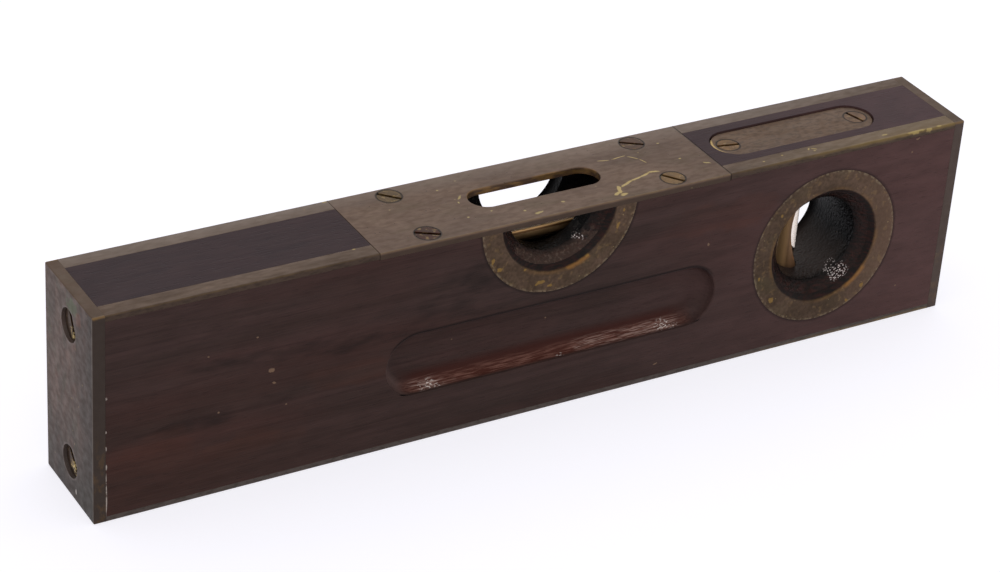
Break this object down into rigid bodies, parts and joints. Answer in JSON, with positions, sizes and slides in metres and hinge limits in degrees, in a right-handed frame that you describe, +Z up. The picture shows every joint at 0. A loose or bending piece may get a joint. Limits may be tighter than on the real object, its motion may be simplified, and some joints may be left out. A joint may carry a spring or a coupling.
{
  "type": "plumb and level",
  "caption": "Brass-bound hardwood plumb and level with a level vial under a slotted top plate, a plumb vial across a round sight hole and a finger hollow in each face.",
  "frame": {"origin": "middle of the base, under the middle of the level", "axes": "+X along the level towards its plumb end, -Y out of the pictured front face, +Z up"},
  "size_m": [0.254, 0.029, 0.0585],
  "materials": {
    "rosewood": "oiled rosewood, worn satin",
    "plate_brass": "brown patina over brushed brass",
    "rail_brass": "brown patina, worn at the edges",
    "ring_brass": "olive patina, mottled",
    "screw_brass": "dull brass, dark slots",
    "tube_brass": "aged lacquered brass",
    "vial_glass": "clear",
    "spirit": "clear liquid",
    "bubble": "air",
    "plaster": "matte plaster"
  },
  "bodies": {
    "body": {"stock": "rosewood", "end_plate_left": "plate_brass", "end_plate_right": "plate_brass", "top_plate": "plate_brass", "plumb_cover": "plate_brass", "top_rail_front_left": "rail_brass", "top_rail_front_right": "rail_brass", "top_rail_back_left": "rail_brass", "top_rail_back_right": "rail_brass", "bottom_rail_front": "rail_brass", "bottom_rail_back": "rail_brass", "half_ring_front": "ring_brass", "half_ring_back": "ring_brass", "plumb_ring_front": "ring_brass", "plumb_ring_back": "ring_brass", "end_screws_left": "screw_brass", "end_screws_right": "screw_brass", "top_plate_screws": "screw_brass", "plumb_cover_screws": "screw_brass", "level_tube": "tube_brass", "plumb_tube": "tube_brass", "level_glass": "vial_glass", "plumb_glass": "vial_glass", "level_spirit": "spirit", "plumb_spirit": "spirit", "level_plug_left": "plaster", "level_plug_right": "plaster", "level_bed_left": "plaster", "level_bed_right": "plaster", "plumb_plug_top": "plaster", "plumb_plug_bottom": "plaster", "plumb_bed": "plaster"},
    "level_bubble": {"level_bubble": "bubble"},
    "plumb_bubble": {"plumb_bubble": "bubble"}
  },
  "joints": [
    {"name": "level_bubble_slide", "type": "slide", "parent": "body", "child": "level_bubble", "axis": [1, 0, 0], "range_m": [-0.013, 0.013], "stiffness_N_per_m": 0.02},
    {"name": "plumb_bubble_slide", "type": "slide", "parent": "body", "child": "plumb_bubble", "axis": [0, 0, 1], "range_m": [-0.023, 0], "stiffness_N_per_m": 0.05, "springref_m": 0.02}
  ]
}
